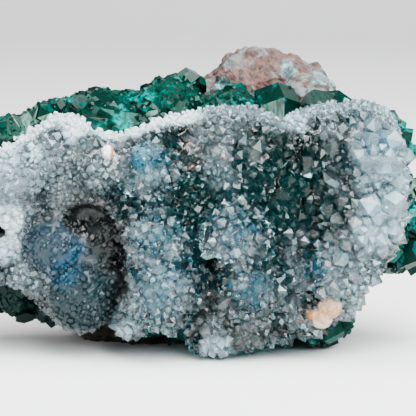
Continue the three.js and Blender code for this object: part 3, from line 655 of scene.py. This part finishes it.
# Materials
def quartz_material():
    s = Shader("clear_quartz")
    milk = s.attribute("milk")
    teal_shade = s.attribute("teal_shade")
    azure = s.attribute("azure")
    cloud = s.noise(900.0, 5.0, 0.65)
    # Painted shade darkens the hollows and gaps, and rust lies in specks
    hollow_shade = s.times(s.attribute("hollow_shade"), s.spread(cloud, 0.35, 0.65, 0.5, 1.3), clamp=True)
    rust = s.times(s.attribute("rust"), s.spread(s.noise(1500.0, 2.0, 0.5), 0.6, 0.66))
    # Milk is cloudy, and some facets are frosted
    veil = s.plus(milk, s.times(s.minus(cloud, 0.55), 0.3), clamp=True)
    frosted = s.times(s.spread(s.facet(), 0.72, 1.0), s.spread(milk, 0.02, 0.14, 0.06, 0.3))
    veil = s.plus(veil, frosted, clamp=True)
    veil = s.times(veil, s.minus(1.0, s.times(hollow_shade, 0.8)))
    # Some facets are etched, and the lobes painted in teal shade and in blue are all a little rough
    etched = s.plus(s.spread(s.facet(47.0), 0.35, 0.75, 0.0, 0.24), s.times(s.attribute("soft"), 0.14))
    etched = s.larger(etched, s.times(s.larger(teal_shade, azure), 0.36))
    tint = s.blend(s.spread(veil, 0.0, 0.4), colour(0.94, 0.98, 0.99), colour(0.4, 0.53, 0.58))
    tint = s.blend(s.spread(milk, 0.55, 1.0), tint, colour(0.66, 0.7, 0.71))
    # Painted shade: a dusky teal
    tint = s.blend(s.times(teal_shade, 0.98), tint, colour(0.001, 0.028, 0.036))
    # A blue, partly its own colour and partly painted shade
    tint = s.blend(s.times(azure, 0.95), tint, colour(0.004, 0.05, 0.09))
    # Painted shade: the hollows and gaps go dark brown-grey
    tint = s.blend(s.times(hollow_shade, 2.2, clamp=True), tint, colour(0.022, 0.028, 0.027))
    # What lies in the crystal hides what is behind it, and so do the painted teal shade and the blue
    stain = s.plus(s.times(teal_shade, 0.6), s.times(azure, 0.45))
    cover = s.plus(veil, s.larger(rust, s.times(hollow_shade, 0.8)))
    cover = s.larger(stain, cover)
    s.surface(
        Base_Color=s.blend(rust, tint, colour(0.6, 0.22, 0.04)),
        Transmission_Weight=s.spread(cover, 0.0, 1.0, 1.0, 0.1),
        Roughness=s.larger(s.spread(milk, 0.3, 1.0, 0.0, 0.45), etched),
        IOR=1.545,
        Specular_IOR_Level=0.3,
    )
    absorb = s.nodes.new("ShaderNodeVolumeAbsorption")
    absorb.inputs["Color"].default_value = colour(0.46, 0.76, 0.77)
    absorb.inputs["Density"].default_value = 260.0
    s.links.new(absorb.outputs[0], s.output.inputs["Volume"])
    return s.material


def dioptase_material():
    s = Shader("emerald_dioptase")
    gloom = s.attribute("gloom")
    veil = s.attribute("veil")
    facet = s.facet()
    patch = s.noise(170.0, 4.0, 0.6)
    grain = s.noise(1400.0, 3.0, 0.6)
    # Each facet has its own depth of green, partly a painted inner reflection, some carry a painted
    # flash of inner reflection, and all are finely striped
    green = s.blend(facet, colour(0.0, 0.012, 0.008), colour(0.0, 0.06, 0.04))
    painted_flash = s.spread(s.plus(facet, s.times(patch, 0.5)), 0.98, 1.35)
    green = s.blend(painted_flash, green, colour(0.0, 0.15, 0.12))
    green = s.blend(s.spread(s.streaks(1700.0), 0.35, 0.7, 0.0, 0.75), green, colour(0.0, 0.02, 0.015))
    green = s.blend(gloom, green, colour(0.0, 0.012, 0.009))
    # Patches of brighter powder
    powder = s.times(s.spread(patch, 0.54, 0.66), s.spread(grain, 0.38, 0.62))
    powder = s.times(powder, s.minus(1.0, gloom))
    green = s.blend(s.times(powder, 0.75), green, colour(0.0, 0.3, 0.27))
    # Faces with a painted pale reflection, and painted light on crystals seen through the clear quartz
    striped = s.spread(s.plus(s.streaks(2400.0), s.times(grain, 0.4)), 0.5, 0.9, 0.3, 1.0)
    green = s.blend(s.times(s.attribute("pale"), striped), green, colour(0.15, 0.25, 0.21))
    # Painted light: crystals seen through the clear quartz are lighter
    green = s.blend(s.times(s.attribute("lit"), 0.6), green, colour(0.02, 0.21, 0.18))
    under = s.blend(s.spread(s.noise(420.0, 4.0, 0.6), 0.35, 0.65),
                    colour(0.03, 0.09, 0.1), colour(0.14, 0.23, 0.26))
    s.surface(
        Base_Color=s.blend(veil, green, under),
        Roughness=s.spread(s.plus(powder, veil), 0.0, 1.0, 0.26, 0.55),
        IOR=1.66,
        Specular_IOR_Level=0.08,
        Transmission_Weight=s.times(s.minus(1.0, veil), 0.12),
    )
    s.bump(s.plus(s.noise(2600.0, 3.0, 0.6), s.streaks(1600.0)), 0.00008, 0.35)
    return s.material


def shattuckite_material():
    s = Shader("blue_shattuckite")
    band = s.attribute("band")
    fibres = s.noise(2200.0, 4.0, 0.7)
    patch = s.noise(380.0, 4.0, 0.6)
    deep = s.blend(s.spread(fibres, 0.3, 0.7), colour(0.0, 0.13, 0.2), colour(0.02, 0.32, 0.46))
    pale = s.blend(s.spread(patch, 0.35, 0.65), colour(0.045, 0.275, 0.38), colour(0.14, 0.39, 0.47))
    # Some balls are painted this darker teal: partly their own tone, partly painted shade
    teal = s.blend(s.spread(fibres, 0.3, 0.7), colour(0.0, 0.06, 0.075), colour(0.01, 0.15, 0.18))
    bright = s.blend(s.spread(band, 0.2, 0.8), deep, pale)
    s.surface(
        Base_Color=s.blend(s.attribute("shade"), bright, teal),
        Roughness=s.spread(fibres, 0.2, 0.8, 0.4, 0.75),
        Sheen_Weight=0.3,
        Subsurface_Weight=0.1,
        Subsurface_Scale=0.0006,
    )
    s.bump(s.plus(fibres, s.times(patch, 0.6)), 0.0002, 0.6)
    return s.material


def matrix_material():
    s = Shader("pink_matrix")
    large = s.noise(95.0, 5.0, 0.6, distortion=0.6)
    small = s.noise(620.0, 6.0, 0.7)
    speck = s.cells(900.0)
    vein = s.noise(210.0, 6.0, 0.7, distortion=1.2)
    rock = s.blend(s.spread(small, 0.35, 0.65), colour(0.064, 0.038, 0.033), colour(0.14, 0.092, 0.082))
    pale = s.blend(s.spread(speck, 0.1, 0.5), colour(0.17, 0.16, 0.157), rock)
    ground = s.blend(s.spread(large, 0.45, 0.6), rock, pale)
    grey = s.spread(s.noise(260.0, 5.0, 0.6, distortion=0.8), 0.5, 0.62)
    ground = s.blend(s.times(grey, 0.6), ground, colour(0.17, 0.22, 0.23))
    blue = s.blend(s.spread(small, 0.35, 0.6), colour(0.01, 0.09, 0.11), colour(0.21, 0.41, 0.38))
    stain = s.plus(s.attribute("turquoise"), s.minus(vein, 0.62))
    rust = s.spread(s.noise(310.0, 5.0, 0.65), 0.52, 0.66)
    rusty = s.blend(s.times(rust, 0.5), ground, colour(0.16, 0.055, 0.03))
    mottled = s.blend(s.spread(stain, 0.0, 0.16), rusty, blue)
    dark = s.times(s.attribute("shade"), 0.85)
    s.surface(
        Base_Color=s.blend(dark, mottled, colour(0.012, 0.014, 0.013)),
        Roughness=s.spread(small, 0.2, 0.8, 0.7, 0.95),
    )
    s.bump(s.plus(small, s.times(speck, 0.4)), 0.0004, 0.8)
    return s.material


def calcite_material():
    s = Shader("cream_calcite")
    warm = s.attribute("warm")
    grain = s.noise(1300.0, 5.0, 0.65)
    patch = s.noise(420.0, 3.0, 0.6)
    cream = s.blend(s.spread(grain, 0.3, 0.7), colour(0.36, 0.21, 0.12), colour(0.47, 0.33, 0.23))
    cream = s.blend(s.spread(patch, 0.52, 0.7), cream, colour(0.5, 0.43, 0.37))
    cream = s.blend(s.spread(warm, -1.0, -0.2), colour(0.72, 0.71, 0.7), cream)
    s.surface(
        Base_Color=s.blend(s.spread(warm, 0.4, 1.0), cream, colour(0.42, 0.17, 0.06)),
        Roughness=s.spread(grain, 0.2, 0.8, 0.35, 0.6),
        Subsurface_Weight=0.25,
        Subsurface_Scale=0.0012,
        Subsurface_Radius=(1.0, 0.7, 0.5),
    )
    s.bump(grain, 0.00015, 0.6)
    return s.material


def paper_material():
    s = Shader("pale_floor")
    soft = s.noise(30.0, 3.0, 0.5)
    s.surface(
        Base_Color=s.blend(soft, colour(0.74, 0.74, 0.73), colour(0.78, 0.78, 0.77)),
        Roughness=0.8,
    )
    return s.material


# Pieces
def crystal_size(place):
    """Radius of a quartz point: larger on the upper right lobes, and fine grains on the rim."""
    x, _, z = place
    if on_rim(place):
        return 0.3 + 0.35 * rng.random() ** 2
    lobe = smooth_step((x + 0.6 * z - 18.0) / 14.0)
    soft = spots(place[0:1], place[2:3], SOFT_SPOTS)[0]
    coarse = spots(place[0:1], place[2:3], COARSE_SPOTS)[0]
    at_end = smooth_step((x - 26.4) / 0.8)
    share = (1.0 - 0.42 * soft) * (1.0 + 0.6 * coarse) * (1.0 - 0.35 * at_end)
    return (0.5 + 0.1 * lobe + (0.6 + 0.35 * lobe) * rng.random() ** 2) * share


def recess_at(x, y, z):
    """How deep each place lies between the lobes round it: 0 up to 0.8 mm, and 1 from 4 mm."""
    step, window = 0.6, 5
    grid_x, grid_z = np.arange(-36.0, 30.0, step), np.arange(0.0, 37.0, step)
    front = crust_front(*np.meshgrid(grid_x, grid_z, indexing="ij"))
    reach = range(-window, window + 1)
    foremost = np.min([np.roll(front, (i, j), (0, 1)) for i in reach for j in reach
                       if i * i + j * j <= window * window], axis=0)
    i = np.clip(((x - grid_x[0]) / step).astype(int), 0, len(grid_x) - 1)
    j = np.clip(((z - grid_z[0]) / step).astype(int), 0, len(grid_z) - 1)
    return smooth_step((y - foremost[i, j] - 0.8) / 3.2)


def quartz_points(corners, triangles):
    """The crystals that stand on the crust. Few of them stand on its back."""

    def shown(middle, normals):
        at_back = (middle[:, 1] > CRUST_BACK - 0.05) & (normals[:, 1] > 0.7)
        return np.where(at_back, 0.12, 1.0)

    places, normals = surface_samples(corners, triangles, QUARTZ_SAMPLES, shown)
    radii = [crystal_size(place) for place in places]
    kept = [i for i in thin_out(places, radii, QUARTZ_SPACING)
            if all(math.hypot(places[i][0] - cx, places[i][2] - cz) > free + 0.6 * radii[i]
                   for cx, cz, free in KEPT_FREE)]
    print("quartz crystals", len(kept))
    x, _, z = places.T
    bare = spots(x, z, BARE_SPOTS)
    steepness = QUARTZ_STEEPNESS * (1.0 - BLUNT * spots(x, z, SOFT_SPOTS))
    crystals = []
    for i in kept:
        if rng.random() < bare[i]:
            continue
        tilt = 0.9 if on_rim(places[i]) else 0.42 * steepness[i] / QUARTZ_STEEPNESS
        direction = tilted(normals[i], tilt)
        shaft = radii[i] * (0.05 + 0.65 * rng.random())
        shape, tris = quartz_crystal(radii[i], shaft, steepness[i])
        crystals.append((stand(shape, places[i], direction, rng.random() * 2.0), tris))
    return crystals


def quartz_milk(points):
    """How milky each place is: in patches and spots, little in the recesses, which is painted shade,
    and most at the rim.
    """
    x, y, z = points.T
    below_rim = rim_height(x, y) - z
    patches = smooth_step(1.6 * noise_at(points, 3.4, 2.0) + 0.5)
    milk = np.maximum(0.03 + 0.22 * patches, spots(x, z, MILKY_SPOTS))
    milk *= 1.0 - 0.95 * spots(x, z, CLEAR_SPOTS)
    # Painted shade: the recesses between the lobes lose milk, so that they read darker
    milk *= 1.0 - 0.75 * recess_at(x, y, z) * smooth_step((below_rim - 4.0) / 3.0)
    near_rim = smooth_step(1.0 - below_rim / 1.1) * smooth_step((y + 0.8) / 1.4)
    whiteness = 0.35 + 0.45 * smooth_step((1.0 - x) / 4.0)
    milk = np.maximum(milk, whiteness * near_rim)
    # Painted shade: this lobe keeps little of its milk, so that it reads darker
    lobe_x, lobe_z, radius = SHADED_LOBE
    in_shaded_lobe = np.hypot(x - lobe_x, z - lobe_z) < radius
    return np.where(in_shaded_lobe, SHADED_LOBE_MILK * milk, milk)


def make_quartz():
    corners, faces = crust_body()
    triangles = np.concatenate([faces[:, [0, 1, 2]], faces[:, [0, 2, 3]]])
    crystals = quartz_points(corners, triangles)
    piece = join_solids("quartz_druse_crystals", corners, faces, crystals, smooth=True)
    points = corners_of(piece.data)
    x, _, z = points.T
    set_attribute(piece.data, "milk", quartz_milk(points))
    for name, table in (("hollow_shade", HOLLOW_SHADE_SPOTS), ("soft", SOFT_SPOTS), ("teal_shade", TEAL_SHADE_SPOTS),
                        ("azure", BLUE_SPOTS), ("rust", RUSTY_SPOTS)):
        set_attribute(piece.data, name, spots(x, z, table))
    place_piece(piece, "quartz_druse", quartz_material())


def reflection_faces(mesh):
    """Marks the large flat faces near some places that look to the front, for a painted pale
    reflection.
    """
    values = []
    for face in mesh.polygons:
        x, y, z = millimetres(face.center)
        near = any(abs(x - px) < width and abs(z - pz) < height and y < back
                   for px, pz, width, height, back in REFLECTION_FACES)
        values.append(1.0 if near and face.normal.y < -REFLECTION_FACING else 0.0)
    return values


def in_large_crystals(place):
    """True among the large crystals at the right of the rim, which keep their faces clean."""
    left, right, back, low = 5.5, 20.0, 10.0, 33.0
    x, y, z = place
    return left < x < right and y < back and z > low


def under_clear(place):
    """True where a place is seen through clear quartz."""
    return spots(place[0:1], place[2:3], CLEAR_SPOTS)[0] > 0.3


def dioptase_points(corners, triangles):
    """The small crystals that stand where the dioptase is free or seen through clear quartz."""
    reach = 1.2  # a place is covered where something lies this close ahead
    matrix_tree = BVHTree.FromPolygons(*[part.tolist() for part in cad_mesh("matrix")])
    quartz_tree = BVHTree.FromPolygons(*[part.tolist() for part in cad_mesh("quartz_druse")])

    def shown(middle, normals):
        values = []
        for place, normal in zip(middle, normals):
            start = Vector(place)
            ahead = Vector(normal)
            in_rock = matrix_tree.ray_cast(start, ahead, reach)[0] is not None
            if in_rock or place[2] < 0.8:
                values.append(0.0)
            elif quartz_tree.ray_cast(start, ahead, reach)[0] is not None:
                values.append(0.9 if place[1] < 3.0 and under_clear(place) else 0.0)
            else:
                values.append(0.06 if in_large_crystals(place) else 1.0)
        return np.array(values)

    places, normals = surface_samples(corners, triangles, DIOPTASE_SAMPLES, shown)
    radii = [0.28 + 1.7 * rng.random() ** 2.0 * (not in_large_crystals(place)) for place in places]
    kept = thin_out(places, radii, DIOPTASE_SPACING)
    print("dioptase crystals", len(kept))
    crystals = []
    for i in kept:
        radius = radii[i]
        large = radius >= LARGE_RADIUS
        shape, tris = dioptase_crystal(radius, radius * (0.5 + 0.6 * rng.random()))
        direction = tilted(normals[i], 1.6 if large else 0.7)
        points = stand(shape, places[i], direction, rng.random() * 2.0)
        if large:
            rise = ((points - places[i]) @ normals[i]).max()
            points += (radius * (0.22 + 0.25 * rng.random()) - rise) * normals[i]
        crystals.append((points, tris))
    return crystals


def make_dioptase():
    corners, triangles = cad_mesh("dioptase_crust")
    crystals = dioptase_points(corners, triangles)
    piece = join_solids("dioptase_crystals", corners, triangles, crystals)
    points = corners_of(piece.data)
    x, y, z = points.T
    clear = spots(x, z, CLEAR_SPOTS)
    under_quartz = smooth_step((2.4 - y) / 1.2) * smooth_step((rim_height(x, y) - z) / 1.5)
    under_quartz *= smooth_step(distance_to_edge(x, z) / 1.5) * (z > lower_edge(x))
    set_attribute(piece.data, "veil", under_quartz * (1.0 - clear))
    # The painted light is left out of the hollows and the gap at the left
    lit = under_quartz * clear * (1.0 - spots(x, z, HOLLOW_SHADE_SPOTS)) * (x > -13.0)
    set_attribute(piece.data, "lit", lit)
    # The lower left is in the shade, and the large crystals are deeper green
    gloom = 0.8 * smooth_step((-18.0 - x) / 2.0) * smooth_step((12.0 - z) / 2.0)
    large = np.array([in_large_crystals(place) for place in points])
    set_attribute(piece.data, "gloom", np.maximum(gloom, 0.45 * large))
    set_attribute(piece.data, "pale", reflection_faces(piece.data), "FACE")
    place_piece(piece, "dioptase_crust", dioptase_material())


def rough_copy(name, node, subdivisions, growth, roughness, scale, seed):
    """A CAD node's form with a fine rough surface, grown outwards a little."""
    corners, triangles = cad_mesh(node)
    piece = new_object(name, corners, triangles)
    shape = bmesh.new()
    shape.from_mesh(piece.data)
    for _ in range(subdivisions):
        bmesh.ops.subdivide_edges(shape, edges=shape.edges[:], cuts=1, use_grid_fill=True, smooth=0.2)
    bmesh.ops.triangulate(shape, faces=shape.faces[:])
    shape.normal_update()
    for corner in shape.verts:
        place = Vector(millimetres(corner.co))
        coarse = noise.fractal(place / (0.5 * scale) + Vector((seed, 0, 0)), 1.0, 2.0, 5)
        distances, _ = noise.voronoi(place / scale + Vector((0, seed, 0)))
        chip = min(distances[1] - distances[0], 0.5)
        rise = growth + roughness * (0.6 * coarse + 1.8 * (chip - 0.3))
        corner.co += corner.normal * rise * 0.001
    for corner in shape.verts:
        corner.co.z = max(corner.co.z, CAD_BOX[0][2])
    shape.to_mesh(piece.data)
    shape.free()
    return piece


def make_matrix():
    piece = rough_copy("matrix_rock", "matrix",
                       subdivisions=4, growth=0.15, roughness=0.55, scale=2.2, seed=4.0)
    x, y, z = corners_of(piece.data).T
    # The mint is only at the front, and the foot under the crust is in the shade
    mint = spots(x, z, MINT_SPOTS) * smooth_step((20.0 - y) / 5.0)
    set_attribute(piece.data, "turquoise", mint - 0.06)
    set_attribute(piece.data, "shade", smooth_step((9.0 - z) / 5.0) * smooth_step((13.0 - y) / 5.0))
    place_piece(piece, "matrix", matrix_material())


def make_ball(number, lobe, material):
    """A ball of radiating needles: a fine sphere with ridged, broken tufts."""
    x, y, z, lobe_radius, share = lobe
    centre = Vector((x, y + BALL_SET_BACK, z))
    radius = lobe_radius * share + BALL_GROWTH - NEEDLE_LENGTH
    shape = bmesh.new()
    bmesh.ops.create_icosphere(shape, subdivisions=5, radius=1.0)
    band = []
    for corner in shape.verts:
        direction = corner.co.normalized()
        tufts = noise.cell(direction * 5.0 + centre)
        needles = noise.noise(direction * 16.0 + centre)
        fine = noise.noise(direction * 40.0 - centre)
        rise = 1.0 + 0.05 * (tufts - 0.5) + 0.05 * needles + 0.02 * fine
        corner.co = Vector(metres(centre + direction * radius * rise))
        band.append(0.5 + 0.4 * noise.noise(direction * 1.6 + centre) + 0.25 * needles)
    mesh = bpy.data.meshes.new("ball")
    shape.to_mesh(mesh)
    shape.free()
    piece = add_object(f"shattuckite_needles_{number}", mesh)
    set_attribute(mesh, "band", band)
    set_attribute(mesh, "shade", [SHADED_BALLS.get(number, 0.0)] * len(mesh.vertices))
    place_piece(piece, f"shattuckite_ball_{number}", material)


def make_balls():
    material = shattuckite_material()
    for number, lobe in enumerate(BALL_LOBES, start=1):
        make_ball(number, lobe, material)


def make_calcite():
    """The creamy knob, rusty at its left, and the white bead, creamy at its right."""
    material = calcite_material()
    knob = rough_copy("calcite_lump", "calcite_knob",
                      subdivisions=3, growth=0.12, roughness=0.17, scale=1.7, seed=8.0)
    x = corners_of(knob.data)[:, 0]
    set_attribute(knob.data, "warm", 1.1 * smooth_step((15.4 - x) / 1.4))
    place_piece(knob, "calcite_knob", material)
    bead = rough_copy("calcite_drop", "calcite_bead",
                      subdivisions=3, growth=0.12, roughness=0.1, scale=0.9, seed=8.0)
    x = corners_of(bead.data)[:, 0]
    set_attribute(bead.data, "warm", -1.0 + 1.9 * smooth_step((x - PLANNED_BEAD[0] - 0.25) / 0.5))
    place_piece(bead, "calcite_bead", material)


# Stage, light and camera
FRAME_WIDTH = 58.24  # of the view at the crust
LOOK_AT = (0.0, -3.0, 21.9)
ELEVATION = 10.0  # in degrees
DISTANCE = 350.0
SENSOR = 36.0


def make_floor():
    """A pale sheet that lies under the specimen and curves up far behind it."""
    half, far, bend, height = 900.0, 420.0, 260.0, 900.0
    profile = [(-half, 0.0), (far, 0.0)]
    profile += [(far + bend * math.sin(t), bend * (1.0 - math.cos(t)))
                for t in np.linspace(0.1, math.pi / 2.0, 14)]
    profile.append((far + bend, height))
    corners = [(side * half, y, z) for side in (-1.0, 1.0) for y, z in profile]
    count = len(profile)
    faces = [(i, i + count, i + count + 1, i + 1) for i in range(count - 1)]
    floor = new_object("floor", corners, faces)
    for face in floor.data.polygons:
        face.use_smooth = True
    floor.data.materials.append(paper_material())


def make_light(name, place, size, power, tone=(1.0, 1.0, 1.0)):
    light = bpy.data.lights.new(name, "AREA")
    light.shape = "RECTANGLE"
    light.size, light.size_y = (value * 0.001 for value in size)
    light.energy = power
    light.color = tone
    lamp = add_object(name, light)
    lamp.location = metres(place)
    aim = Vector(metres(LOOK_AT)) - lamp.location
    lamp.rotation_euler = aim.to_track_quat("-Z", "Y").to_euler()


def make_studio():
    make_light("key", (220.0, -270.0, 370.0), (600.0, 500.0), 9.0, (0.965, 0.99, 1.0))
    make_light("fill", (-330.0, -240.0, 170.0), (260.0, 300.0), 1.2)
    make_light("top", (-20.0, -30.0, 440.0), (440.0, 300.0), 3.0)
    world = bpy.data.worlds.new("studio")
    world.use_nodes = True
    background = world.node_tree.nodes["Background"]
    background.inputs["Color"].default_value = (0.8, 0.83, 0.87, 1.0)
    background.inputs["Strength"].default_value = 0.1
    bpy.context.scene.world = world
    bpy.context.scene.view_settings.look = "AgX - Medium High Contrast"


def make_camera():
    camera = bpy.data.cameras.new("view")
    camera.sensor_width = SENSOR
    camera.lens = SENSOR * DISTANCE / FRAME_WIDTH
    camera.clip_start, camera.clip_end = 0.01, 10.0
    stand_point = add_object("view", camera)
    lift = math.radians(ELEVATION)
    offset = Vector((0.0, -math.cos(lift), math.sin(lift))) * DISTANCE
    stand_point.location = metres(Vector(LOOK_AT) + offset)
    stand_point.rotation_euler = (-offset).to_track_quat("-Z", "Y").to_euler()
    bpy.context.scene.camera = stand_point


make_camera()
make_studio()
make_floor()
make_matrix()
make_dioptase()
make_balls()
make_quartz()
make_calcite()
